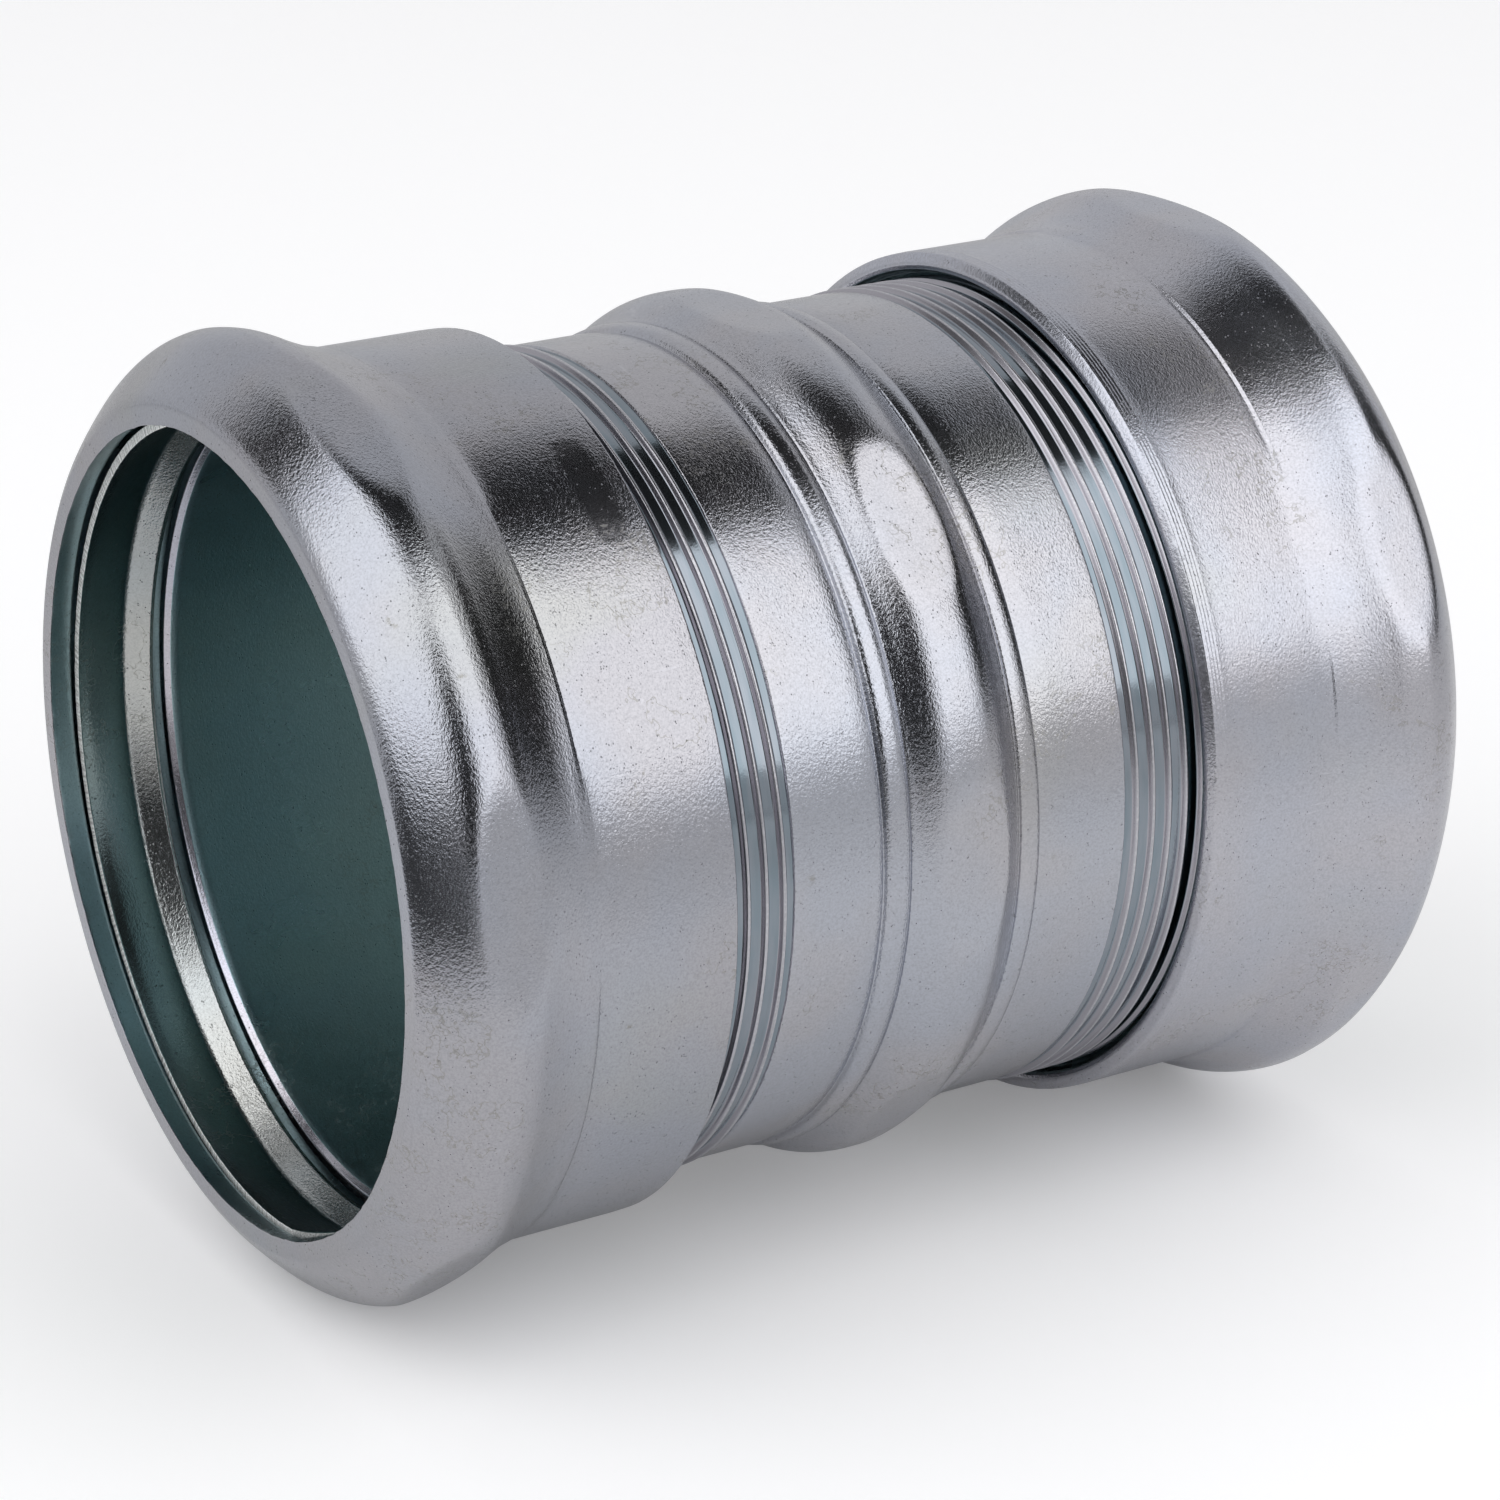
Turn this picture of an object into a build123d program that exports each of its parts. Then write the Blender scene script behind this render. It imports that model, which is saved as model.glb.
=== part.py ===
from build123d import *
import os

# Steel compression coupling for thin-wall electrical conduit, trade size 2-1/2.
# The origin is the middle of the coupling body, on the common axis. The fitting lies
# on its side: +X runs along the axis from nut A to nut B, and +Z is up.
# All sizes are millimetres. A profile point is (distance along the axis, radius).

CONDUIT_R = 73.03 / 2
THREAD_PITCH = 25.4 / 14

# Coupling body: a tube with a raised eight-sided grip in the middle
BODY_HALF = 42.2
BORE_R = 36.9
BORE_CLEARANCE = BORE_R - CONDUIT_R
TUBE_R = 38.7
THREAD_ROOT_R = 38.2
THREAD_CREST_R = 39.3
THREAD_START = 17.4
THREAD_TURNS = 12.5
MOUTH_R = 37.8
MOUTH_DEPTH = 1.6
STOP_R = 36.0
STOP_CENTRE = 7.4
STOP_HALF = 1.6
SHOULDER_END = 8.2
SHOULDER_R = 39.25
TUBE_GROOVE = 0.1
FOOT_GROOVE = 0.15
EDGE_BREAK = 0.3
GRIP_FOOT = 5.6
GRIP_FALL = 0.55
GRIP_CORNER_R = 41.4
GRIP_FLAT_R = 40.5
SHEET = 1.8

# Compression nuts: a threaded skirt that opens into a six-sided dome
NUT_LENGTH = 30.0
NUT_MOUTH_R = 37.0
NUT_FACE_R = 38.8
NUT_LIP_R = 37.8
NUT_LIP_DEPTH = 2.5
NUT_LIP_RISE = 1.6
NUT_CORNER_R = 44.6
NUT_CORNER_AT = 7.3
NUT_DOME = (3.0, 42.5)
NUT_DOME_INSIDE = (4.9, 41.75)
NUT_FLARE = (11.0, 43.35)
NUT_FLARE_INSIDE = (11.2, 41.5)
NUT_FLAT_R = 43.6
NUT_SKIRT_R = 41.4
NUT_SKIRT_AT = 16.0
NUT_RIM_R = 40.4
NUT_RIM_TAPER = 1.4
NUT_CREASE = 0.2
NUT_THREAD_ROOT_R = 39.6
NUT_THREAD_CREST_R = 38.55
NUT_THREAD_TURNS = 5
NUT_THREAD_FROM = 17.2
NUT_THREAD_TO = 27.6
NUT_A_MOUTH = -54.24
NUT_B_MOUTH = 55.04
NUT_A_CLOCKING = 20.0
NUT_B_CLOCKING = 1.0

# Gland rings: split rings pressed from thin strip, arched in section
RING_FRONT = 2.85
RING_REAR = 11.7
RING_THICKNESS = 0.65
RING_FRONT_R = 37.0
RING_MIDDLE_R = 38.1
RING_REAR_R = 36.75
RING_SPLIT = 6.0
RING_SPLIT_ANGLE = 166.0

# Thread ridges: trapezoids whose foot sinks into the wall by BITE
RIDGE_BASE = 1.5
RIDGE_TIP = 0.4
NUT_RIDGE_BASE = 1.3
NUT_RIDGE_TIP = 0.3
BITE = 0.15
THREAD_RUN_IN = 0.9
HELIX_START = -BODY_HALF + THREAD_RUN_IN


def on_helix(place, offset=0.0):
    """The start of a turn of the body's helix that is nearest to place, plus offset turns."""
    turns = round((place - HELIX_START) / THREAD_PITCH)
    return HELIX_START + THREAD_PITCH * (turns + offset)


def helical_ridge(start, turns, base_r, tip_r, base_width, tip_width):
    """A right-hand thread ridge about the X axis, from start towards +X."""
    with BuildLine() as path:
        turn = Helix(THREAD_PITCH, THREAD_PITCH * turns, base_r, (start, 0, 0), (1, 0, 0))
    radial = turn @ 0 - Vector(start, 0, 0)
    section_plane = Plane((start, 0, 0), (1, 0, 0), Vector(1, 0, 0).cross(radial))
    with BuildPart() as ridge:
        with BuildSketch(section_plane):
            with BuildLine():
                Polyline(
                    (-base_width / 2, base_r),
                    (-tip_width / 2, tip_r),
                    (tip_width / 2, tip_r),
                    (base_width / 2, base_r),
                    close=True,
                )
            make_face()
        sweep(path=path.line, is_frenet=True)
    return ridge.part


def prism(sides, flat_r, clocking, length):
    """A bar along X whose first flat leans clocking degrees from +Z towards -Y."""
    corner_angle = 90 + clocking - 180 / sides
    with BuildPart() as bar:
        with BuildSketch(Plane.YZ.offset(-length / 2)):
            RegularPolygon(flat_r, sides, major_radius=False, rotation=corner_angle)
        extrude(amount=length)
    return bar.part


def body_thread(start):
    """One of the body's two external threads; both lie on the same helix."""
    return helical_ridge(
        start, THREAD_TURNS, THREAD_ROOT_R - BITE, THREAD_CREST_R, RIDGE_BASE, RIDGE_TIP
    )


# ---------------------------------------------------------------- coupling body

with BuildPart() as body_hollow:
    with BuildSketch():
        with BuildLine():
            Line((0, 0), (BODY_HALF, 0))
            Polyline(
                (BODY_HALF, 0),
                (BODY_HALF, MOUTH_R),
                (BODY_HALF - MOUTH_DEPTH, BORE_R),
                (STOP_CENTRE + STOP_HALF, BORE_R),
            )
            ThreePointArc(
                (STOP_CENTRE + STOP_HALF, BORE_R),
                (STOP_CENTRE, STOP_R),
                (STOP_CENTRE - STOP_HALF, BORE_R),
            )
            Line(
                (STOP_CENTRE - STOP_HALF, BORE_R),
                (GRIP_FOOT - 2 * EDGE_BREAK, BORE_R + GRIP_FALL),
            )
            ThreePointArc(
                (GRIP_FOOT - 2 * EDGE_BREAK, BORE_R + GRIP_FALL),
                (GRIP_FOOT / 2, GRIP_CORNER_R - SHEET - GRIP_FALL),
                (0, GRIP_CORNER_R - SHEET),
            )
            Line((0, GRIP_CORNER_R - SHEET), (0, 0))
        make_face()
        mirror(about=Plane.YZ)
    revolve(axis=Axis.X)
    add(prism(8, GRIP_FLAT_R - SHEET, 0, 3 * BODY_HALF), mode=Mode.INTERSECT)

with BuildPart() as coupling_body:
    with BuildSketch():
        with BuildLine():
            Polyline(
                (0, 0),
                (BODY_HALF, 0),
                (BODY_HALF, THREAD_ROOT_R - TUBE_GROOVE),
                (BODY_HALF - EDGE_BREAK, THREAD_ROOT_R),
                (THREAD_START, THREAD_ROOT_R),
                (THREAD_START - EDGE_BREAK, TUBE_R),
                (SHOULDER_END + EDGE_BREAK, TUBE_R),
                (SHOULDER_END, TUBE_R - TUBE_GROOVE),
                (SHOULDER_END - EDGE_BREAK, TUBE_R + EDGE_BREAK),
            )
            ThreePointArc(
                (SHOULDER_END - EDGE_BREAK, TUBE_R + EDGE_BREAK),
                (SHOULDER_END - 4 * EDGE_BREAK, SHOULDER_R - TUBE_GROOVE / 2),
                (GRIP_FOOT + EDGE_BREAK, SHOULDER_R),
            )
            Line((GRIP_FOOT + EDGE_BREAK, SHOULDER_R), (GRIP_FOOT, SHOULDER_R - FOOT_GROOVE))
            ThreePointArc(
                (GRIP_FOOT, SHOULDER_R - FOOT_GROOVE),
                (GRIP_FOOT / 2, GRIP_CORNER_R - GRIP_FALL),
                (0, GRIP_CORNER_R),
            )
            Line((0, GRIP_CORNER_R), (0, 0))
        make_face()
        mirror(about=Plane.YZ)
    revolve(axis=Axis.X)
    add(prism(8, GRIP_FLAT_R, 0, 3 * BODY_HALF), mode=Mode.INTERSECT)
    add(body_hollow.part, mode=Mode.SUBTRACT)
    add(body_thread(HELIX_START))
    add(body_thread(on_helix(THREAD_START + THREAD_RUN_IN)))

# ---------------------------------------------------------------- compression nuts


def make_nut(name, mouth, inward, clocking):
    """A nut whose mouth face is at x = mouth and whose skirt runs along inward."""

    def at(distance, radius):
        return (mouth + inward * distance, radius)

    with BuildPart() as hollow:
        with BuildSketch():
            with BuildLine():
                Polyline(
                    at(-1, 0),
                    at(-1, NUT_MOUTH_R),
                    at(0, NUT_MOUTH_R),
                    at(NUT_LIP_DEPTH, NUT_LIP_R),
                    at(NUT_LIP_DEPTH + EDGE_BREAK, NUT_LIP_R + NUT_LIP_RISE),
                )
                ThreePointArc(
                    at(NUT_LIP_DEPTH + EDGE_BREAK, NUT_LIP_R + NUT_LIP_RISE),
                    at(*NUT_DOME_INSIDE),
                    at(NUT_CORNER_AT + EDGE_BREAK, NUT_CORNER_R - SHEET),
                )
                Spline(
                    at(NUT_CORNER_AT + EDGE_BREAK, NUT_CORNER_R - SHEET),
                    at(*NUT_FLARE_INSIDE),
                    at(NUT_SKIRT_AT, NUT_THREAD_ROOT_R),
                    tangents=[(inward, 0), (inward, -0.1)],
                )
                Polyline(
                    at(NUT_SKIRT_AT, NUT_THREAD_ROOT_R),
                    at(NUT_LENGTH - NUT_RIM_TAPER, NUT_THREAD_ROOT_R),
                    at(NUT_LENGTH, NUT_RIM_R),
                    at(NUT_LENGTH + 1, NUT_RIM_R),
                    at(NUT_LENGTH + 1, 0),
                    at(-1, 0),
                )
            make_face()
        revolve(axis=Axis.X)
        add(prism(6, NUT_FLAT_R - SHEET, clocking, 4 * BODY_HALF), mode=Mode.INTERSECT)

    with BuildPart() as nut:
        with BuildSketch():
            with BuildLine():
                Line(at(0, 0), at(0, NUT_FACE_R))
                ThreePointArc(
                    at(0, NUT_FACE_R), at(*NUT_DOME), at(NUT_CORNER_AT, NUT_CORNER_R)
                )
                Spline(
                    at(NUT_CORNER_AT, NUT_CORNER_R),
                    at(*NUT_FLARE),
                    at(NUT_SKIRT_AT - NUT_CREASE, NUT_SKIRT_R + NUT_CREASE),
                    tangents=[(inward, 0), (inward, -0.2)],
                )
                Polyline(
                    at(NUT_SKIRT_AT - NUT_CREASE, NUT_SKIRT_R + NUT_CREASE),
                    at(NUT_SKIRT_AT, NUT_SKIRT_R),
                    at(NUT_LENGTH - NUT_RIM_TAPER, NUT_SKIRT_R),
                )
                ThreePointArc(
                    at(NUT_LENGTH - NUT_RIM_TAPER, NUT_SKIRT_R),
                    at(NUT_LENGTH - NUT_RIM_TAPER / 3, NUT_SKIRT_R - EDGE_BREAK),
                    at(NUT_LENGTH, NUT_RIM_R + NUT_CREASE),
                )
                Polyline(at(NUT_LENGTH, NUT_RIM_R + NUT_CREASE), at(NUT_LENGTH, 0), at(0, 0))
            make_face()
        revolve(axis=Axis.X)
        add(prism(6, NUT_FLAT_R, clocking, 4 * BODY_HALF), mode=Mode.INTERSECT)
        add(hollow.part, mode=Mode.SUBTRACT)
        # The nut's ridge lies half a pitch away from the body's, on the same helix.
        first = min(at(NUT_THREAD_FROM, 0)[0], at(NUT_THREAD_TO, 0)[0])
        add(
            helical_ridge(
                on_helix(first, 0.5),
                NUT_THREAD_TURNS,
                NUT_THREAD_ROOT_R + BITE,
                NUT_THREAD_CREST_R,
                NUT_RIDGE_BASE,
                NUT_RIDGE_TIP,
            )
        )
    nut.part.label = name
    return nut.part


# ---------------------------------------------------------------- gland rings


def make_ring(name, mouth, inward):
    """A split ring that sits between a nut's lip and the end of the body."""

    def at(distance, radius):
        return (mouth + inward * distance, radius)

    middle = (RING_FRONT + RING_REAR) / 2
    with BuildPart() as ring:
        with BuildSketch():
            with BuildLine():
                ThreePointArc(
                    at(RING_FRONT, RING_FRONT_R),
                    at(middle, RING_MIDDLE_R),
                    at(RING_REAR, RING_REAR_R),
                )
                Line(at(RING_REAR, RING_REAR_R), at(RING_REAR, RING_REAR_R + RING_THICKNESS))
                ThreePointArc(
                    at(RING_REAR, RING_REAR_R + RING_THICKNESS),
                    at(middle, RING_MIDDLE_R + RING_THICKNESS),
                    at(RING_FRONT, RING_FRONT_R + RING_THICKNESS),
                )
                Line(at(RING_FRONT, RING_FRONT_R + RING_THICKNESS), at(RING_FRONT, RING_FRONT_R))
            make_face()
        revolve(axis=Axis.X)
        with BuildSketch(Plane.YZ.offset(mouth - inward)):
            with Locations(Rotation(0, 0, 90 + RING_SPLIT_ANGLE)):
                Rectangle(2 * RING_MIDDLE_R, RING_SPLIT, align=(Align.MIN, Align.CENTER))
        extrude(amount=inward * 2 * RING_REAR, mode=Mode.SUBTRACT)
    ring.part.label = name
    return ring.part


os.makedirs("parts", exist_ok=True)
coupling_body.part.label = "coupling_body"
pieces = [
    coupling_body.part,
    make_nut("nut_a", NUT_A_MOUTH, 1, NUT_A_CLOCKING),
    make_nut("nut_b", NUT_B_MOUTH, -1, NUT_B_CLOCKING),
    make_ring("gland_ring_a", NUT_A_MOUTH, 1),
    make_ring("gland_ring_b", NUT_B_MOUTH, -1),
]
for piece in pieces:
    export_step(piece, f"parts/{piece.label}.step")
    print(piece.label, len(piece.solids()), round(piece.volume, 1), piece.is_valid)
print("bore clearance", round(BORE_CLEARANCE, 3))
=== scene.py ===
"""Looks of a steel conduit compression coupling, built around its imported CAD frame.

The axis of the fitting is X. An angle "psi" goes round it from +Z (up) towards -Y (the
viewer's side). Lengths inside this file are millimetres until a mesh is made.
"""

import math
import random

import bpy
import numpy as np
from mathutils import Matrix, Vector


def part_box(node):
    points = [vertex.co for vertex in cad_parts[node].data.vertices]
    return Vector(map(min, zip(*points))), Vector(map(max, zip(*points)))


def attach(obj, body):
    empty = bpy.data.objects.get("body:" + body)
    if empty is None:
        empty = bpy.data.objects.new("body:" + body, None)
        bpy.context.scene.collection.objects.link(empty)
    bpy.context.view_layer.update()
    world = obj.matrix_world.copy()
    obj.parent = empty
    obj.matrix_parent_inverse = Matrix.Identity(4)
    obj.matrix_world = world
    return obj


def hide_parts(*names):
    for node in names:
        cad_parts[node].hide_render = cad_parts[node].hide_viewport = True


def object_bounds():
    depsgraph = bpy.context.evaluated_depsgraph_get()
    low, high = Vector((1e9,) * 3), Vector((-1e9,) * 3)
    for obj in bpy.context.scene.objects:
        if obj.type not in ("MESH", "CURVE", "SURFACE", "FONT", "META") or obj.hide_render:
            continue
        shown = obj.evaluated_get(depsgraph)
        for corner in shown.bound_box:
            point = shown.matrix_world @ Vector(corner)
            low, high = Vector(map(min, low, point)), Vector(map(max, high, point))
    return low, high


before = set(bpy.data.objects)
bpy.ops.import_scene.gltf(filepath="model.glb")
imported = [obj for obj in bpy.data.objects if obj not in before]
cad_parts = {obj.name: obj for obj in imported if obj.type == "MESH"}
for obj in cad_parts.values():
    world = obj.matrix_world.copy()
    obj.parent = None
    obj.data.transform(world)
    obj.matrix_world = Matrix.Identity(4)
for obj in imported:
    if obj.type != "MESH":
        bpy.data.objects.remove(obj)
cad_low, cad_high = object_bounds()

MM = 0.001
TAU = 2 * math.pi


def span(node):
    """The CAD node's first and last place along X, in millimetres."""
    low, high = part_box(node)
    return low.x / MM, high.x / MM


# ------------------------------------------------------------------ driving sizes

BODY_HALF = (span("coupling_body")[1] - span("coupling_body")[0]) / 2
MOUTH_A = span("nut_a")[0]
MOUTH_B = span("nut_b")[1]
NUT_LENGTH = span("nut_a")[1] - span("nut_a")[0]

PITCH = 25.4 / 14
THREAD_PHASE = {"a": 0.99, "b": 0.06}

TUBE_R = 38.7
BORE_R = 36.9
TIP = BODY_HALF + 0.15
THREAD_ROOT_R = 38.45
THREAD_CREST_R = 38.95
THREAD_START = 17.4
THREAD_END = BODY_HALF - 0.6
THREAD_SEEN = 26.5
CREST_HALF = 0.11
FLANK = 0.30
SHEET = 1.8
GRIP_SIDES = 8
GRIP_FLAT_R = 40.5
GRIP_SHARPNESS = 10

NUT_SIDES = 6
NUT_FLAT_R = 43.6
SKIRT_R = 41.4
SKIRT_AT = 16.0
NUT_THREAD_ROOT_R = 39.6
NUT_THREAD_CREST_R = 38.55
CLOCKING = {"nut_a": 20.0, "nut_b": 1.0}
NUT_SHARPNESS = {"nut_a": 4.5, "nut_b": 6}
FLAT_WEAR = {"nut_a": 0, "nut_b": 0.5}
RIM_GROOVE = {"nut_a": 0, "nut_b": 0.014}
BURR_SEED = {"nut_a": 11, "nut_b": 12}

RING_FRONT = 2.9
RING_BEND = 8.1
RING_REAR = 10.7
RING_THICK = 0.95
RING_R = 37.5
RING_SPLIT_AT = 164.5
RING_SPLIT = 7.0
RING_SAG = 0.55

# ------------------------------------------------------------------ outlines


def line(start, end, step=1.0):
    """Points from start up to, but not with, end."""
    start, end = np.array(start, float), np.array(end, float)
    count = max(1, int(np.ceil(np.linalg.norm(end - start) / step)))
    return [start + (end - start) * i / count for i in range(count)]


def arc(start, middle, end, step=0.3):
    """Points of the circle arc through three points, without its end."""
    ax, ay = start
    bx, by = middle
    cx, cy = end
    d = 2 * (ax * (by - cy) + bx * (cy - ay) + cx * (ay - by))
    a2, b2, c2 = ax * ax + ay * ay, bx * bx + by * by, cx * cx + cy * cy
    centre = np.array(
        [
            (a2 * (by - cy) + b2 * (cy - ay) + c2 * (ay - by)) / d,
            (a2 * (cx - bx) + b2 * (ax - cx) + c2 * (bx - ax)) / d,
        ]
    )
    radius = math.dist(centre, start)
    angles = [math.atan2(y - centre[1], x - centre[0]) for x, y in (start, middle, end)]
    sweep = (angles[2] - angles[0]) % TAU
    if (angles[1] - angles[0]) % TAU > sweep:
        sweep -= TAU
    count = max(2, int(np.ceil(abs(sweep) * radius / step)))
    turns = angles[0] + sweep * np.arange(count) / count
    return [centre + radius * np.array([math.cos(t), math.sin(t)]) for t in turns]


def flow(points, step=0.3):
    """Points of a smooth curve through all the given ones, without the last."""
    p = np.array(points, float)
    p = np.vstack([2 * p[0] - p[1], p, 2 * p[-1] - p[-2]])
    out = []
    for i in range(1, len(p) - 2):
        count = max(2, int(np.ceil(np.linalg.norm(p[i + 1] - p[i]) / step)))
        for t in np.arange(count) / count:
            out.append(
                0.5
                * (
                    2 * p[i]
                    + (p[i + 1] - p[i - 1]) * t
                    + (2 * p[i - 1] - 5 * p[i] + 4 * p[i + 1] - p[i + 2]) * t**2
                    + (3 * p[i] - p[i - 1] - 3 * p[i + 1] + p[i + 2]) * t**3
                )
            )
    return out


class Section:
    """A closed outline round the axis: (x, radius) points, each with a finish."""

    def __init__(self):
        self.points = []
        self.finish = []

    def add(self, points, finish=0):
        self.points += list(points)
        self.finish += [finish] * len(points)
        return self


# ------------------------------------------------------------------ meshes


def smooth_step(low, high, value):
    """0 at low and 1 at high, smooth between them; high may be the smaller."""
    t = np.clip((value - low) / (high - low), 0, 1)
    return t * t * (3 - 2 * t)


def band_mask(value, low, high, soft):
    """1 between low and high, with soft edges."""
    return smooth_step(low - soft, low + soft, value) * smooth_step(high + soft, high - soft, value)


def soft_min(a, b, sharpness):
    """The smaller of two lengths, with a rounder change between them if less sharp."""
    return -np.logaddexp(-sharpness * a, -sharpness * b) / sharpness


def from_flat(psi, sides, clocking):
    """The angle from the middle of the nearest flat."""
    half = math.pi / sides
    return (psi - math.radians(clocking) + half) % (2 * half) - half


def flats(radius, off, flat_r, sharpness):
    """The radius cut down softly to the flats, and where it is: 1 on a flat, 0 off it."""
    limit = flat_r / np.cos(off)
    return soft_min(radius, limit, sharpness), smooth_step(-0.05, 0.25, radius - limit)


def ridge(x, psi, phase):
    """0 to 1 across a right-hand thread: 1 on its crest."""
    off = (x - phase - PITCH * psi / TAU) % PITCH
    off = np.minimum(off, PITCH - off)
    return 1 - np.clip((off - CREST_HALF) / FLANK, 0, 1)


def wobble(psi, seed, waves, size):
    """A closed uneven line round the axis, from a few seeded waves."""
    rng = random.Random(seed)
    total = np.zeros_like(psi)
    for count in waves:
        total += rng.uniform(0.4, 1.0) * np.sin(count * psi + rng.uniform(0, TAU))
    return size * total / len(waves)


def turned(name, section, columns, shape, finishes, closed=True):
    """A solid of revolution, changed by shape(); one that isn't closed gets end caps.

    shape() takes the places, radii, angles and finishes and gives back the places, the
    radii and how worn smooth each point is.
    """
    outline = np.array(section.points)
    rows = len(outline)
    x, psi = np.meshgrid(outline[:, 0], columns, indexing="ij")
    r = np.repeat(outline[:, 1][:, None], len(columns), axis=1)
    x, r, worn = shape(x, r, psi, np.array(section.finish)[:, None])
    verts = np.stack([x, -r * np.sin(psi), r * np.cos(psi)], axis=-1).reshape(-1, 3) * MM
    count = len(columns)
    around = count if closed else count - 1
    i, j = np.meshgrid(np.arange(rows), np.arange(around), indexing="ij")
    i2, j2 = (i + 1) % rows, (j + 1) % count
    quads = np.stack([i * count + j, i * count + j2, i2 * count + j2, i2 * count + j], -1)
    area = np.dot(outline[:, 0], np.roll(outline[:, 1], -1)) - np.dot(
        outline[:, 1], np.roll(outline[:, 0], -1)
    )
    quads = quads.reshape(-1, 4)
    first, last = np.arange(rows) * count, np.arange(rows) * count + count - 1
    if area > 0:
        quads, first, last = quads[:, ::-1], first[::-1], last[::-1]
    faces = quads.tolist()
    tags = np.repeat(section.finish, around).tolist()
    if not closed:
        faces += [first.tolist(), last[::-1].tolist()]
        tags += [max(section.finish)] * 2
    mesh = bpy.data.meshes.new(name)
    mesh.from_pydata(verts.tolist(), [], faces)
    for finish in finishes:
        mesh.materials.append(finish)
    mesh.polygons.foreach_set("material_index", tags)
    mesh.polygons.foreach_set("use_smooth", [True] * len(faces))
    mesh.attributes.new("worn", "FLOAT", "POINT").data.foreach_set("value", worn.ravel())
    mesh.update()
    obj = bpy.data.objects.new(name, mesh)
    bpy.context.collection.objects.link(obj)
    return obj


def evenly(count):
    """The angles of a full turn's columns."""
    return np.arange(count) * TAU / count


# ------------------------------------------------------------------ materials


class Nodes:
    """A material's node tree with short calls for the nodes used here."""

    def __init__(self, name):
        self.material = bpy.data.materials.new(name)
        self.material.use_nodes = True
        self.tree = self.material.node_tree
        self.shader = self.tree.nodes["Principled BSDF"]
        self.point = self.node("ShaderNodeTexCoord").outputs["Object"]

    def node(self, kind, inputs=(), **settings):
        made = self.tree.nodes.new(kind)
        for key, value in settings.items():
            setattr(made, key, value)
        for key, value in dict(inputs).items():
            self.feed(value, made.inputs[key])
        return made

    def feed(self, value, socket):
        if isinstance(value, bpy.types.NodeSocket):
            self.tree.links.new(value, socket)
        else:
            socket.default_value = value

    def math(self, operation, a, b=0.0, clamp=False):
        made = self.node("ShaderNodeMath", {0: a, 1: b}, operation=operation, use_clamp=clamp)
        return made.outputs[0]

    def place(self, scale=(1, 1, 1)):
        """The point on the object in millimetres, stretched by scale."""
        factor = [s / MM for s in scale]
        made = self.node("ShaderNodeVectorMath", {0: self.point, 1: factor}, operation="MULTIPLY")
        return made.outputs[0]

    def noise(self, scale, detail=2.0, roughness=0.5, stretch=(1, 1, 1)):
        inputs = {"Vector": self.place(stretch), "Scale": scale, "Detail": detail}
        inputs["Roughness"] = roughness
        return self.node("ShaderNodeTexNoise", inputs).outputs["Fac"]

    def between(self, value, low, high, to_low=0.0, to_high=1.0):
        """A value that goes smoothly from to_low at low to to_high at high."""
        made = self.node(
            "ShaderNodeMapRange",
            {"Value": value, 1: low, 2: high, 3: to_low, 4: to_high},
            clamp=True,
            interpolation_type="SMOOTHSTEP",
        )
        return made.outputs[0]

    def mix(self, amount, first, second):
        made = self.node("ShaderNodeMix", data_type="RGBA")
        self.feed(amount, made.inputs["Factor"])
        self.feed(first, made.inputs[6])
        self.feed(second, made.inputs[7])
        return made.outputs[2]

    def worn(self):
        """1 where the metal is rubbed smooth."""
        return self.node("ShaderNodeAttribute", attribute_name="worn").outputs["Fac"]

    def round_noise(self, scale, detail=2.0):
        """Noise that only changes round the axis, like marks across a cut edge."""
        turn = self.node("ShaderNodeSeparateXYZ", {0: self.place()})
        angle = self.math("ARCTAN2", turn.outputs[2], turn.outputs[1])
        made = self.node(
            "ShaderNodeTexNoise",
            {"W": self.math("MULTIPLY", angle, 38.0), "Scale": scale, "Detail": detail},
            noise_dimensions="1D",
        )
        return made.outputs["Fac"]

    def bump(self, height, distance, strength=1.0, after=None):
        inputs = {"Height": height, "Distance": distance, "Strength": strength}
        if after is not None:
            inputs["Normal"] = after
        return self.node("ShaderNodeBump", inputs).outputs["Normal"]

    def set(self, **values):
        """Feed the shader's sockets, and give back the finished material."""
        for key, value in values.items():
            self.feed(value, self.shader.inputs[key.replace("_", " ")])
        return self.material


def specks(m, size, share, stretch=(1, 1, 1)):
    """A few scattered spots: 1 in a spot, 0 between them."""
    cells = m.node(
        "ShaderNodeTexVoronoi", {"Vector": m.place(stretch), "Scale": 1 / size}, feature="F1"
    )
    chosen = m.between(m.noise(0.55 / size, 1.0), 1 - share, 1 - share + 0.03)
    return m.math("MULTIPLY", m.between(cells.outputs["Distance"], 0.32, 0.14), chosen)


def scratches(m, along, across, share):
    """Sparse fine lines along one direction of stretched noise."""
    lines = m.noise(1.0, 1.0, 0.4, stretch=along)
    gate = m.between(m.noise(across, 0.0), 1 - share, 1 - share + 0.05)
    return m.math("MULTIPLY", m.between(lines, 0.66, 0.72), gate)


AROUND = (1.4, 1, 1)
DIRT = (0.27, 0.26, 0.21, 1)


def scaled(tint, factor):
    return [min(1, t * factor) for t in tint] + [1]


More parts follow.
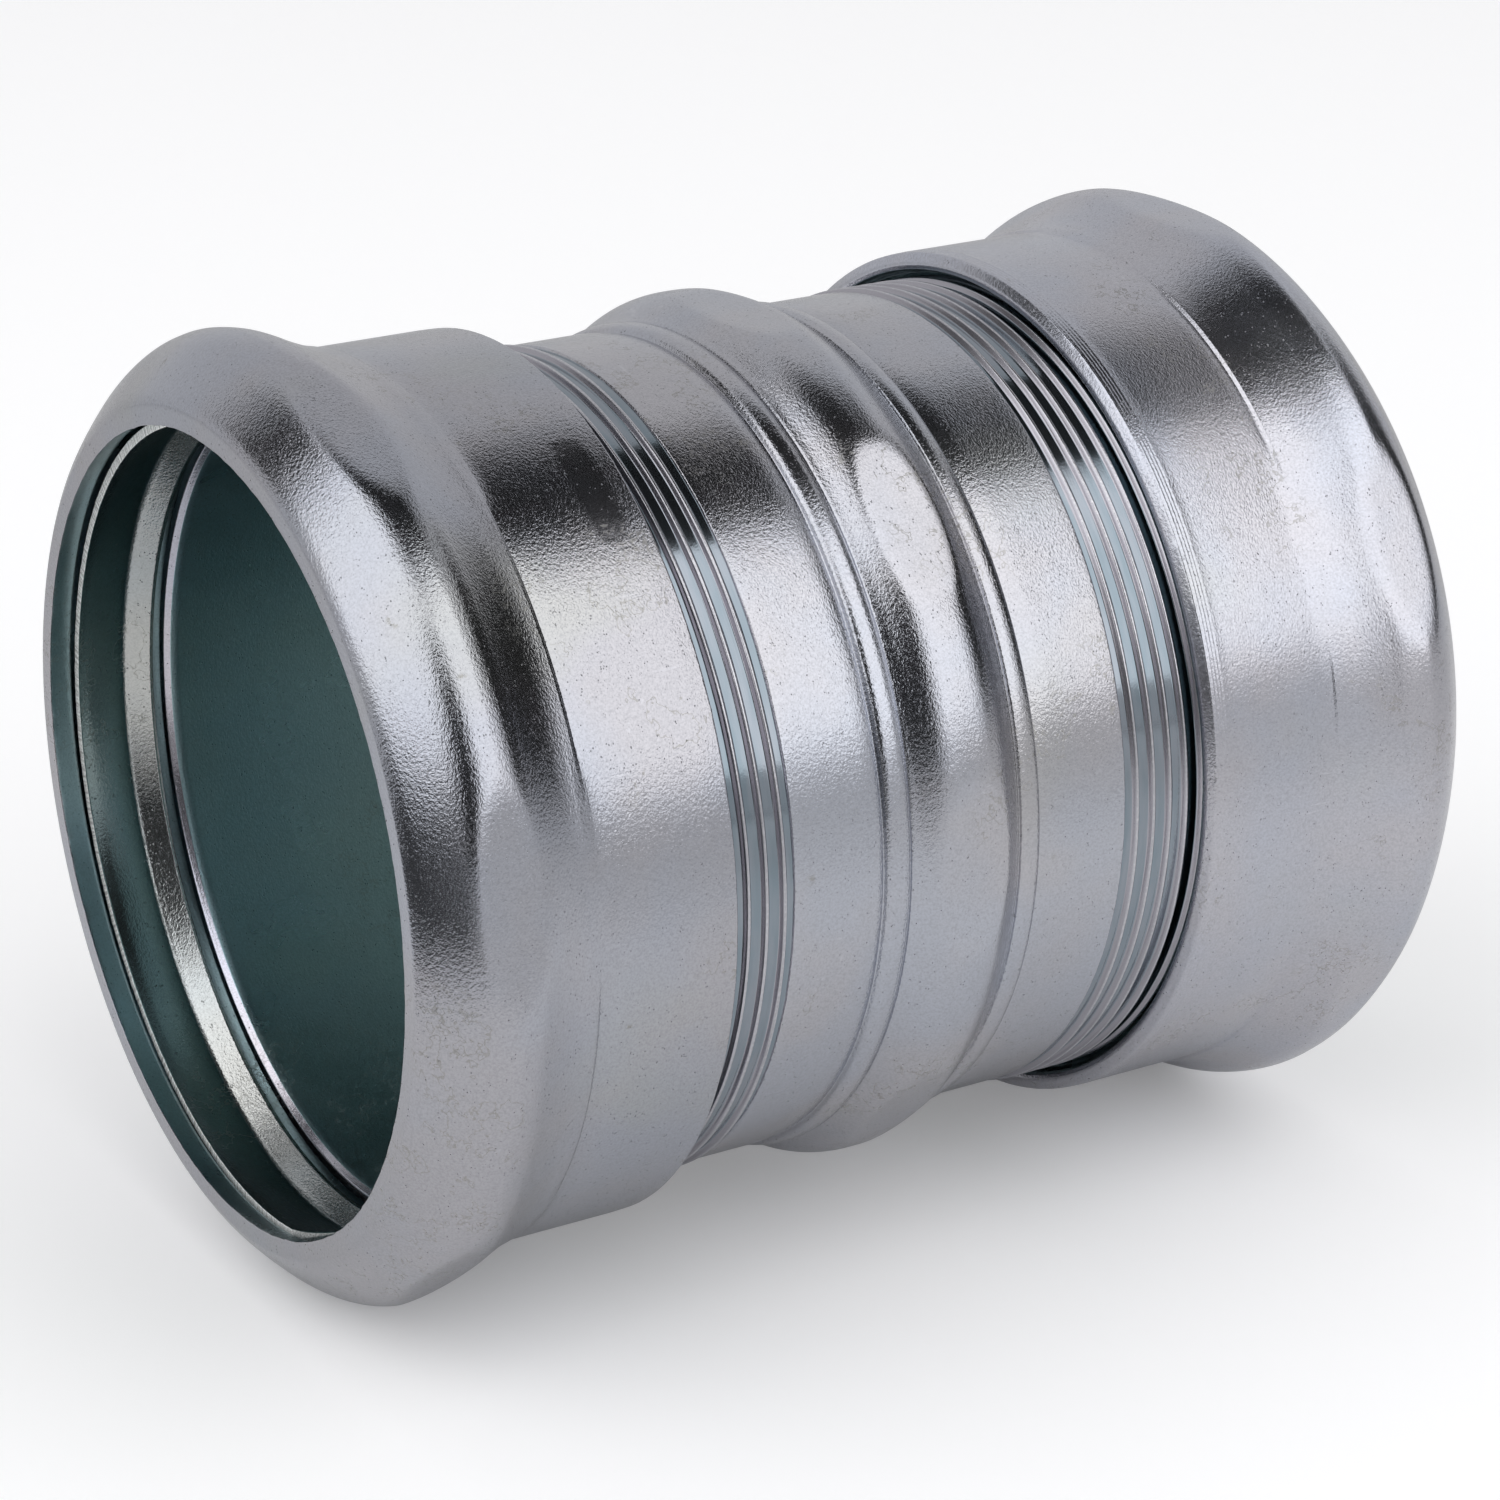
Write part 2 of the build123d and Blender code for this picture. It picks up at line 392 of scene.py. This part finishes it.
def plated_colour(m, tint, deep):
    """Zinc's own colour: warm and cool clouds, a yellowish film and a fine darker grain.

    It turns into the deep colour towards the middle of the fitting, if there is one.
    """
    red, green, blue = tint
    warm = (red * 1.02, green * 0.995, blue * 0.98, 1)
    cool = (red * 0.96, green * 0.99, blue * 1.03, 1)
    yellowish = (red * 1.03, green * 1.04, blue * 0.9, 1)
    cloud = m.noise(0.05, 3.0, 0.55)
    colour = m.mix(m.between(cloud, 0.35, 0.65), cool, warm)
    film = m.noise(0.033, 2.0, 0.5, (1.0, 1.6, 1.0))
    colour = m.mix(m.between(film, 0.55, 0.75, 0.0, 0.5), colour, yellowish)
    if deep:
        along = m.node("ShaderNodeSeparateXYZ", {0: m.place()}).outputs[0]
        colour = m.mix(m.between(m.math("ABSOLUTE", along), 38.0, 8.0), colour, deep)
    fine = m.noise(4.5, 3.0, 0.7)
    return m.mix(m.between(fine, 0.35, 0.75, 0.0, 0.45), colour, scaled(tint, 0.55))


def dried_dirt(m):
    """Spots of dirt, and the tide lines of dried drops: 1 where it is thickest."""
    spots = m.math("MULTIPLY", specks(m, 2.6, 0.30), m.between(m.noise(1.4, 3.0, 0.7), 0.42, 0.6))
    from_line = m.math("ABSOLUTE", m.math("SUBTRACT", m.noise(0.16, 4.0, 0.7), 0.56))
    chosen = m.between(m.noise(0.05, 1.0), 0.53, 0.62)
    tide = m.math("MULTIPLY", m.between(from_line, 0.012, 0.003), chosen)
    return m.math("MAXIMUM", spots, m.math("MULTIPLY", tide, 0.7))


def plated_relief(m, pits, marks, grain, turning):
    """Grain that wear turns into brushed lines, then turning lines, pits and scratches."""
    worn = m.worn()
    grainy = m.between(worn, 0.0, 1.0, 1.0, 0.25)
    height = m.math("MULTIPLY", m.noise(3.3, 2.0, 0.65, AROUND), grainy)
    normal = m.bump(height, 0.032 * MM * grain)
    normal = m.bump(m.noise(0.6, 2.0, 0.5), 0.010 * MM * grain, after=normal)
    brushed = m.math("MULTIPLY", m.noise(1.0, 2.0, 0.6, (0.25, 7.0, 7.0)), worn)
    normal = m.bump(brushed, 0.005 * MM, after=normal)
    if turning:
        lines = m.noise(1.0, 2.0, 0.6, (9.0, 0.03, 0.03))
        normal = m.bump(lines, 0.006 * MM * turning, after=normal)
    height = m.math("SUBTRACT", m.math("MULTIPLY", marks, -0.6), pits)
    return m.bump(height, 0.010 * MM, after=normal)


def zinc(name, tint, roughness, grain=1.0, turning=0.0, grime=0.5, deep=None):
    """Bright zinc plate: rainbow film, fine grain, specks, grime, stains and scratches."""
    m = Nodes(name)
    pits = specks(m, 0.36, 0.40, AROUND)
    dirt = dried_dirt(m)
    drawn = scratches(m, (0.30, 2.6, 2.6), 0.06, 0.24)
    handled = scratches(m, (1.6, 0.16, 1.9), 0.09, 0.28)
    marks = m.math("MAXIMUM", drawn, handled)
    colour = plated_colour(m, tint, deep)
    colour = m.mix(m.math("MULTIPLY", pits, 0.7), colour, scaled(tint, 0.3))
    colour = m.mix(m.math("MULTIPLY", dirt, grime), colour, DIRT)
    colour = m.mix(m.math("MULTIPLY", marks, 0.22), colour, scaled(tint, 1.35))
    patchy = m.between(m.noise(0.12, 3.0, 0.6), 0.3, 0.7, roughness * 0.88, roughness * 1.14)
    spots = m.math("MULTIPLY", m.math("MAXIMUM", pits, dirt), 0.25)
    rough = m.math("ADD", patchy, m.math("MAXIMUM", spots, m.math("MULTIPLY", m.worn(), 0.03)))
    normal = plated_relief(m, pits, marks, grain, turning)
    return m.set(Base_Color=colour, Metallic=1.0, Roughness=rough, Normal=normal)


def threaded_zinc(name, crest_tint, flank_tint, valley_tint):
    """Rolled thread: smooth bluish valleys, turned flanks and bright speckled crests."""
    m = Nodes(name)
    radius = m.node(
        "ShaderNodeVectorMath", {0: m.place((0, 1, 1))}, operation="LENGTH"
    ).outputs["Value"]
    flank = m.between(radius, THREAD_ROOT_R + 0.02, THREAD_ROOT_R + 0.07)
    crest = m.between(radius, THREAD_CREST_R - 0.10, THREAD_CREST_R - 0.03)
    streaks = m.noise(1.0, 3.0, 0.6, (0.6, 0.10, 0.10))
    valley = m.mix(m.between(streaks, 0.3, 0.7, 0.0, 0.35), valley_tint, flank_tint)
    colour = m.mix(crest, m.mix(flank, valley, flank_tint), crest_tint)
    lines = m.noise(1.0, 3.0, 0.7, (8.0, 0.05, 0.05))
    shade = m.math("MULTIPLY", m.between(lines, 0.45, 0.7), m.between(flank, 0, 1, 0.10, 0.35))
    colour = m.mix(shade, colour, scaled(flank_tint[:3], 0.45))
    mottled = m.math("MULTIPLY", m.between(m.noise(4.0, 3.0, 0.7), 0.45, 0.65), crest)
    colour = m.mix(m.math("MULTIPLY", mottled, 0.35), colour, (0.85, 0.85, 0.87, 1))
    rough = m.between(flank, 0.0, 1.0, 0.11, 0.24)
    normal = m.bump(lines, 0.006 * MM, m.between(flank, 0, 1, 0.15, 1.0))
    normal = m.bump(m.noise(4.0, 2.0), 0.012 * MM, m.between(crest, 0, 1, 0.25, 1.0), after=normal)
    return m.set(Base_Color=colour, Metallic=1.0, Roughness=rough, Normal=normal)


def sheared(name):
    """A bright cut edge with fracture lines across it."""
    m = Nodes(name)
    lines = m.round_noise(3.0)
    both = m.math("ADD", m.noise(6.0, 2.0, 0.7), lines)
    colour = m.mix(m.between(both, 0.8, 1.15), (0.50, 0.50, 0.49, 1), (1.0, 1.0, 0.98, 1))
    normal = m.bump(lines, 0.05 * MM)
    return m.set(Base_Color=colour, Metallic=0.0, Roughness=0.45, Normal=normal)


ZINC = (0.51, 0.515, 0.55)
INSIDE = (0.36, 0.50, 0.53)
CRESTS = (0.51, 0.51, 0.545, 1)
FLANKS = (0.44, 0.43, 0.47, 1)
body_plate = zinc("body_zinc_plate", ZINC, 0.13, 1.3)
thread_plate = threaded_zinc("thread_zinc", CRESTS, FLANKS, (0.235, 0.29, 0.33, 1))
nut_a_plate = zinc("nut_a_zinc_plate", (0.46, 0.465, 0.50), 0.13, 1.3)
nut_b_plate = zinc("nut_b_zinc_plate", (0.55, 0.555, 0.60), 0.20)
inner_plate = zinc(
    "inside_zinc_plate", INSIDE, 0.30, 0.6, turning=0.6, grime=0.3, deep=(0.47, 0.57, 0.55, 1)
)
end_plate = zinc("tube_end_zinc", (0.60, 0.59, 0.65), 0.20, 0.4, turning=1.5, grime=0.2)
strip_front = zinc("ring_strip_front", (0.27, 0.35, 0.35), 0.19, 0.8, grime=0.3)
strip_rear = zinc("ring_strip_rear", (0.53, 0.55, 0.54), 0.16, 1.0, grime=0.3)
cut_edge = sheared("sheared_edge")

# ------------------------------------------------------------------ coupling body


PLATE, THREAD, INNER, END = 0, 1, 2, 3


def body_outline():
    """Half of the body's outline, from the grip's top round the tube's end to its inside."""
    grip = flow([(0, 41.35), (1, 41.32), (2, 41.15), (3, 40.75), (4, 40.15), (5, 39.45), (5.6, 39.1)])
    crease = line((5.6, 39.1), (5.74, 38.88), 0.08) + line((5.74, 38.88), (5.92, 39.14), 0.08)
    band = flow([(5.92, 39.14), (6.6, 39.27), (7.4, 39.17), (7.9, 38.92), (8.1, 38.62)], 0.15)
    foot = [(8.1, 38.62), (8.2, 38.44), (8.35, 38.47), (9.0, 38.6), (9.8, 38.68), (10.6, TUBE_R)]
    tube = flow(foot, 0.1) + line((10.6, TUBE_R), (17.1, TUBE_R))
    step = flow([(17.1, TUBE_R), (17.34, 38.68), (17.42, 38.6), (17.5, THREAD_ROOT_R)], 0.05)
    threaded = line((17.5, THREAD_ROOT_R), (THREAD_SEEN, THREAD_ROOT_R), PITCH / 22)
    threaded += line((THREAD_SEEN, THREAD_ROOT_R), (THREAD_END, THREAD_ROOT_R), PITCH / 12)
    end = flow([(THREAD_END, THREAD_ROOT_R), (TIP - 0.1, 38.4), (TIP, 38.3)], 0.1)
    end += line((TIP, 38.3), (TIP, 37.32), 0.2)
    end += line((TIP, 37.32), (TIP - 0.08, 37.26), 0.1)
    end += line((TIP - 0.08, 37.26), (TIP - 0.62, BORE_R + 0.02), 0.1)
    bore = line((TIP - 0.62, BORE_R + 0.02), (9.0, BORE_R))
    bore += arc((9.0, BORE_R), (7.4, 36.0), (5.8, BORE_R))
    bore += flow([(5.8, BORE_R), (5.2, 37.3), (4, 38.35), (3, 38.95), (2, 39.35), (1, 39.52), (0, 39.55)])
    bore.append((0.0, 39.55))
    half = [(point, PLATE) for point in grip + crease + band + tube + step]
    half += [(point, THREAD) for point in threaded]
    half += [(point, END) for point in end]
    return half + [(point, INNER) for point in bore]


def make_body():
    half = body_outline()
    section = Section()
    for (x, r), finish in half[::-1]:
        section.add([(-x, r)], finish)
    for point, finish in half[1:-1]:
        section.add([point], finish)

    def shape(x, r, psi, tags):
        outside = (tags == PLATE) | (tags == THREAD)
        flat_r = np.where(outside, GRIP_FLAT_R, GRIP_FLAT_R - SHEET)
        r, worn = flats(r, from_flat(psi, GRIP_SIDES, 0), flat_r, GRIP_SHARPNESS)
        crest_a = ridge(x, psi, THREAD_PHASE["a"])
        crest_b = ridge(x, psi, THREAD_PHASE["b"])
        crest = np.where(x < 0, crest_a, crest_b)
        fade = smooth_step(THREAD_START + 0.1, THREAD_START + 0.35, np.abs(x))
        fade = fade * smooth_step(THREAD_END + 0.1, THREAD_END - 1.2, np.abs(x))
        r = r + (THREAD_CREST_R - THREAD_ROOT_R) * crest * fade * (tags == THREAD)
        ragged = wobble(psi, 31, (23, 41, 67, 89, 127), 0.06)
        at_step = (np.abs(np.abs(x) - THREAD_START) < 0.1) & (tags == PLATE)
        x = x + np.sign(x) * np.where(at_step, ragged, 0)
        return x, r, worn

    finishes = [body_plate, thread_plate, inner_plate, end_plate]
    body = turned("coupling_body_skin", section, evenly(360), shape, finishes)
    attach(body, "coupling_body")
    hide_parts("coupling_body")


# ------------------------------------------------------------------ nuts

OUTSIDE, INSIDE_NUT = 0, 1


def nut_section():
    """A nut's outline; distances run from its mouth face towards the body."""
    dome = flow(
        [(0, 38.75), (0.3, 39.35), (0.7, 39.95), (1.6, 41.0), (2.6, 42.05), (3.6, 43.0)]
        + [(4.6, 43.75), (5.6, 44.25), (6.5, 44.5), (7.3, 44.6), (8.6, 44.38), (9.6, 44.0)]
        + [(10.6, 43.5), (11.6, 43.03), (12.6, 42.6), (13.6, 42.22), (14.6, 41.93)]
        + [(15.4, 41.76), (15.85, 41.68)],
        0.25,
    )
    crease = flow([(15.85, 41.68), (SKIRT_AT, 41.5), (16.15, 41.36), (16.5, SKIRT_R)], 0.08)
    skirt = line((16.5, SKIRT_R), (28.0, SKIRT_R))
    skirt += line((28.0, SKIRT_R), (29.4, SKIRT_R - 0.05), 0.07)
    rim = flow([(29.4, SKIRT_R - 0.05), (29.5, SKIRT_R - 0.12), (29.6, SKIRT_R - 0.26)], 0.08)
    rim += line((29.6, SKIRT_R - 0.26), (29.92, SKIRT_R - 0.84), 0.12)
    rim += flow([(29.92, SKIRT_R - 0.84), (29.98, SKIRT_R - 1.0), (NUT_LENGTH, SKIRT_R - 1.2)], 0.08)
    rim += line((NUT_LENGTH, SKIRT_R - 1.2), (29.85, 39.8), 0.1)
    chamfer = line((29.85, 39.8), (29.4, NUT_THREAD_ROOT_R), 0.15)
    threads = line((29.4, NUT_THREAD_ROOT_R), (17.4, NUT_THREAD_ROOT_R), PITCH / 12)
    inner = flow(
        [(17.4, NUT_THREAD_ROOT_R), (16, 39.65), (13.5, 40.4), (11.2, 41.45), (9, 42.45)]
        + [(7.6, 42.75), (6.2, 42.5), (4.9, 41.7), (3.6, 40.6), (2.9, 39.3), (2.55, 38.4)],
        0.5,
    )
    lip = flow([(2.55, 38.4), (2.45, 38.0), (2.45, 37.8)], 0.15)
    lip += line((2.45, 37.8), (0.12, 37.05), 0.3)
    edge = flow([(0.12, 37.05), (0.0, 37.0), (0.0, 37.2)], 0.08)
    face = line((0, 37.2), (0, 38.75), 0.3)
    section = Section()
    section.add(face + dome + crease + skirt + rim, OUTSIDE)
    section.add(chamfer + threads + inner + lip, INSIDE_NUT)
    section.add(edge, OUTSIDE)
    return section


def nut_crease(node, s, psi, off):
    """Where the crease round the skirt is gone: over the flats, and partly at far corners."""
    seen_corner = math.radians(CLOCKING[node] + 180 / NUT_SIDES)
    at_seen_corner = np.maximum(0, np.cos(psi - seen_corner)) ** 4
    past_flat = smooth_step(9, 18, np.degrees(np.abs(off)))
    gone = 1 - past_flat * (0.3 + 0.7 * at_seen_corner)
    return gone * (np.abs(s - SKIRT_AT) < 0.62)


def make_nut(node, mouth, inward, phase, plate):
    """A pressed nut with six flats, an internal thread and burrs at its lip and rim."""
    section = nut_section()
    section.points = [(mouth + inward * s, r) for s, r in section.points]

    def shape(x, r, psi, tags):
        s = (x - mouth) * inward
        outside = tags == OUTSIDE
        off = from_flat(psi, NUT_SIDES, CLOCKING[node])
        smooth_r = np.interp(s, [15.4, 16.6], [41.74, SKIRT_R])
        r = r + (smooth_r - r) * (nut_crease(node, s, psi, off) * outside)
        flat_r = np.where(outside, NUT_FLAT_R, NUT_FLAT_R - SHEET)
        r, worn = flats(r, off, flat_r, NUT_SHARPNESS[node])
        worn = worn * FLAT_WEAR[node]

        turns = smooth_step(17.6, 18.8, s) * smooth_step(29.0, 28.0, s) * (tags == INSIDE_NUT)
        crest = ridge(x, psi, phase + PITCH / 2)
        r = r - (NUT_THREAD_ROOT_R - NUT_THREAD_CREST_R) * crest * turns

        burr = wobble(psi, BURR_SEED[node], (5, 13, 29, 47, 83, 97), 0.22)
        nick = np.maximum(0, wobble(psi, 13, (37, 61, 118, 131), 0.5) - 0.12)
        at_lip = smooth_step(0.5, 0.0, s) * smooth_step(37.35, 37.05, r)
        r = r + (burr - nick) * at_lip * 0.5

        at_rim = (s > 28.0) * (s < 29.4) * outside * smooth_step(40, 41, r)
        r = r + RIM_GROOVE[node] * np.sin(TAU * s / 0.35) * at_rim
        lump = np.maximum(0, wobble(psi, 14, (31, 53, 97, 139, 173), 0.5) - 0.12)
        at_corner = band_mask(s, 29.45, 29.65, 0.1) * smooth_step(40.7, 41.1, r)
        r = r + (lump * 0.5 - nick * 0.6) * at_corner

        if node == "nut_a":
            rub = band_mask(s, 24.3, 27.1, 0.12) * band_mask(np.degrees(psi), 25.5, 41.0, 0.8)
            worn = np.maximum(worn, rub * outside)
        return x, r, worn

    nut = turned(node + "_skin", section, evenly(600), shape, [plate, inner_plate])
    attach(nut, node)
    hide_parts(node)


# ------------------------------------------------------------------ gland rings

STRIP_FRONT, STRIP_REAR, STRIP_EDGE = 0, 1, 2


def make_ring(node, mouth, inward):
    """A split strip ring, arched in section, with sheared edges."""
    arch = [(RING_FRONT, 37.1), (4.3, 37.75), (6.2, 38.3), (7.6, 38.52), (8.3, 38.5), (8.7, 38.3)]
    rear = (RING_REAR, 37.25)
    back = flow(arch, 0.25) + line(arch[-1], rear, 0.4)
    front_edge = line((RING_FRONT, arch[0][1] + RING_THICK), arch[0], 0.12)
    rear_edge = line(rear, (RING_REAR, rear[1] + RING_THICK), 0.2)
    top = [(s, r + RING_THICK) for s, r in back + [rear]][::-1]
    section = Section()
    section.add([p for p in back if p[0] < RING_BEND], STRIP_FRONT)
    section.add([p for p in back if p[0] >= RING_BEND], STRIP_REAR)
    section.add(rear_edge, STRIP_EDGE)
    section.add(top, STRIP_FRONT)
    section.add(front_edge[1:], STRIP_EDGE)
    section.points = [(mouth + inward * s, r) for s, r in section.points]
    half_gap = RING_SPLIT / 2 / RING_R
    middle = math.radians(RING_SPLIT_AT)
    columns = np.linspace(middle + half_gap, middle - half_gap + TAU, 540)

    def shape(x, r, psi, tags):
        ragged = wobble(psi, 21, (41, 67, 103, 149, 181), 0.05)
        at_front = np.abs((x - mouth) * inward - RING_FRONT) < 0.01
        return x + inward * np.where(at_front, ragged, 0), r, np.zeros_like(r)

    finishes = [strip_front, strip_rear, cut_edge]
    ring = turned(node + "_strip", section, columns, shape, finishes, closed=False)
    # The loose ring has sunk to the bottom of its nut.
    ring.data.transform(Matrix.Translation((0, 0, -RING_SAG * MM)))
    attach(ring, node)
    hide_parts(node)


# ------------------------------------------------------------------ studio

BLACK = 0.015
POOL = (110, 280)
FLOOR_HALF = 4.0
FLOOR_GAP = 0.0004
FLOOR_GLOW = 0.14
CAMERA_AIM = Vector((0.00063, -0.00124, -0.00241))
CAMERA_AZIMUTH = -31.10
CAMERA_ELEVATION = 21.41
CAMERA_DISTANCE = 0.430
CAMERA_LENS = 108.8


def stage_card(name, corners, shade, far_shade=None):
    """A flat card from its corners, in metres; its shade may change away from the object."""
    mesh = bpy.data.meshes.new(name)
    mesh.from_pydata(corners, [], [list(range(len(corners)))])
    m = Nodes(name + "_paper")
    away = m.node("ShaderNodeVectorMath", {0: m.place()}, operation="LENGTH").outputs["Value"]
    far = [far_shade or shade * 1.02] * 3 + [1]
    colour = m.mix(m.between(away, *POOL), [shade] * 3 + [1], far)
    mesh.materials.append(m.set(Base_Color=colour, Roughness=0.8))
    card = bpy.data.objects.new(name, mesh)
    bpy.context.collection.objects.link(card)
    return card


def only_in_reflections(thing):
    """Hide a card from everything but the metal's mirror images."""
    thing.visible_camera = False
    thing.visible_diffuse = False
    thing.visible_shadow = False


def level_card(name, outline, height, *shades):
    """A level card from the corners of its outline, in metres."""
    return stage_card(name, [(x, y, height) for x, y in outline], *shades)


def make_floor():
    """A pale floor, and a greyer one, just above it, that only the metal mirrors."""
    size = FLOOR_HALF
    square = [(-size, -size), (size, -size), (size, size), (-size, size)]
    ground = cad_low.z - FLOOR_GAP
    floor = level_card("floor", square, ground, 0.95)
    floor.visible_glossy = False
    lit = floor.data.materials[0].node_tree.nodes["Principled BSDF"]
    lit.inputs["Emission Color"].default_value = (1, 1, 1, 1)
    lit.inputs["Emission Strength"].default_value = FLOOR_GLOW
    only_in_reflections(level_card("mirrored_floor", square, ground + 0.0001, 0.86, 0.66))
    dark = [(-1.3, -0.35), (-0.18, -0.35), (-0.18, 0.10), (-1.3, 0.10)]
    only_in_reflections(level_card("mirrored_floor_edge", dark, ground + 0.0002, BLACK))


def direction(azimuth, elevation):
    """Azimuth 0 is towards -Y, the viewer's side, and 90 towards +X."""
    a, e = math.radians(azimuth), math.radians(elevation)
    return Vector((math.sin(a) * math.cos(e), -math.cos(a) * math.cos(e), math.sin(e)))


def facing(azimuth, elevation, distance):
    """Place and turn of something that faces the object from that direction."""
    towards = direction(azimuth, elevation)
    return towards * distance, towards.to_track_quat("Z", "Y")


def half_spans(wide, high, distance):
    """Half the width and height of a card that covers those angles at that distance."""
    return [distance * math.tan(math.radians(angle / 2)) for angle in (wide, high)]


def softbox(name, azimuth, elevation, wide, high, strength, distance=1.3):
    """A rectangular lamp, its width and height given as angles seen from the object."""
    half_w, half_h = half_spans(wide, high, distance)
    lamp = bpy.data.lights.new(name, "AREA")
    lamp.shape = "RECTANGLE"
    lamp.size = 2 * half_w
    lamp.size_y = 2 * half_h
    lamp.energy = strength * lamp.size * lamp.size_y * math.pi
    box = bpy.data.objects.new(name, lamp)
    bpy.context.collection.objects.link(box)
    box.rotation_mode = "QUATERNION"
    box.location, box.rotation_quaternion = facing(azimuth, elevation, distance)
    box.visible_camera = False


def flag(name, azimuth, elevation, wide, high, distance=1.2):
    """A black card that only shows in reflections."""
    half_w, half_h = half_spans(wide, high, distance)
    place, turn = facing(azimuth, elevation, distance)
    flat = [(-half_w, -half_h), (half_w, -half_h), (half_w, half_h), (-half_w, half_h)]
    corners = [place + turn @ Vector((x, y, 0)) for x, y in flat]
    only_in_reflections(stage_card(name, corners, BLACK))


def make_world(level):
    world = bpy.data.worlds.new("studio")
    world.use_nodes = True
    background = world.node_tree.nodes["Background"]
    background.inputs["Color"].default_value = (level, level, level * 1.02, 1)
    bpy.context.scene.world = world


def make_lights():
    """Two softboxes, and the dark parts of the studio that the metal mirrors."""
    softbox("right_softbox", 16, 40, 60, 60, 0.98)
    softbox("left_softbox", -85, 40, 54, 54, 0.95)
    ceiling = [(-0.45, -0.34), (0.60, -0.34), (0.90, -0.22), (0.90, 0.42), (-0.45, 0.42)]
    only_in_reflections(level_card("ceiling_flag", ceiling, 1.15, BLACK))
    flag("right_flag", 79, 21, 40, 38)
    flag("gap_flag", -38, 24, 30, 50, distance=1.6)
    flag("left_flag", -74, 0, 46, 12)
    flag("corner_flag", -134, 36, 18, 36)


def make_camera():
    cam = bpy.data.cameras.new("camera")
    cam.sensor_width = 36
    cam.lens = CAMERA_LENS
    cam.clip_start = 0.01
    cam.clip_end = 20
    obj = bpy.data.objects.new("camera", cam)
    bpy.context.collection.objects.link(obj)
    back = direction(CAMERA_AZIMUTH, CAMERA_ELEVATION)
    obj.location = CAMERA_AIM + back * CAMERA_DISTANCE
    obj.rotation_mode = "QUATERNION"
    obj.rotation_quaternion = (-back).to_track_quat("-Z", "Y")
    bpy.context.scene.camera = obj


make_camera()
make_world(0.62)
make_floor()
make_lights()

make_body()
make_nut("nut_a", MOUTH_A, 1, THREAD_PHASE["a"], nut_a_plate)
make_nut("nut_b", MOUTH_B, -1, THREAD_PHASE["b"], nut_b_plate)
make_ring("gland_ring_a", MOUTH_A, 1)
make_ring("gland_ring_b", MOUTH_B, -1)

bpy.context.scene.view_settings.view_transform = "Standard"
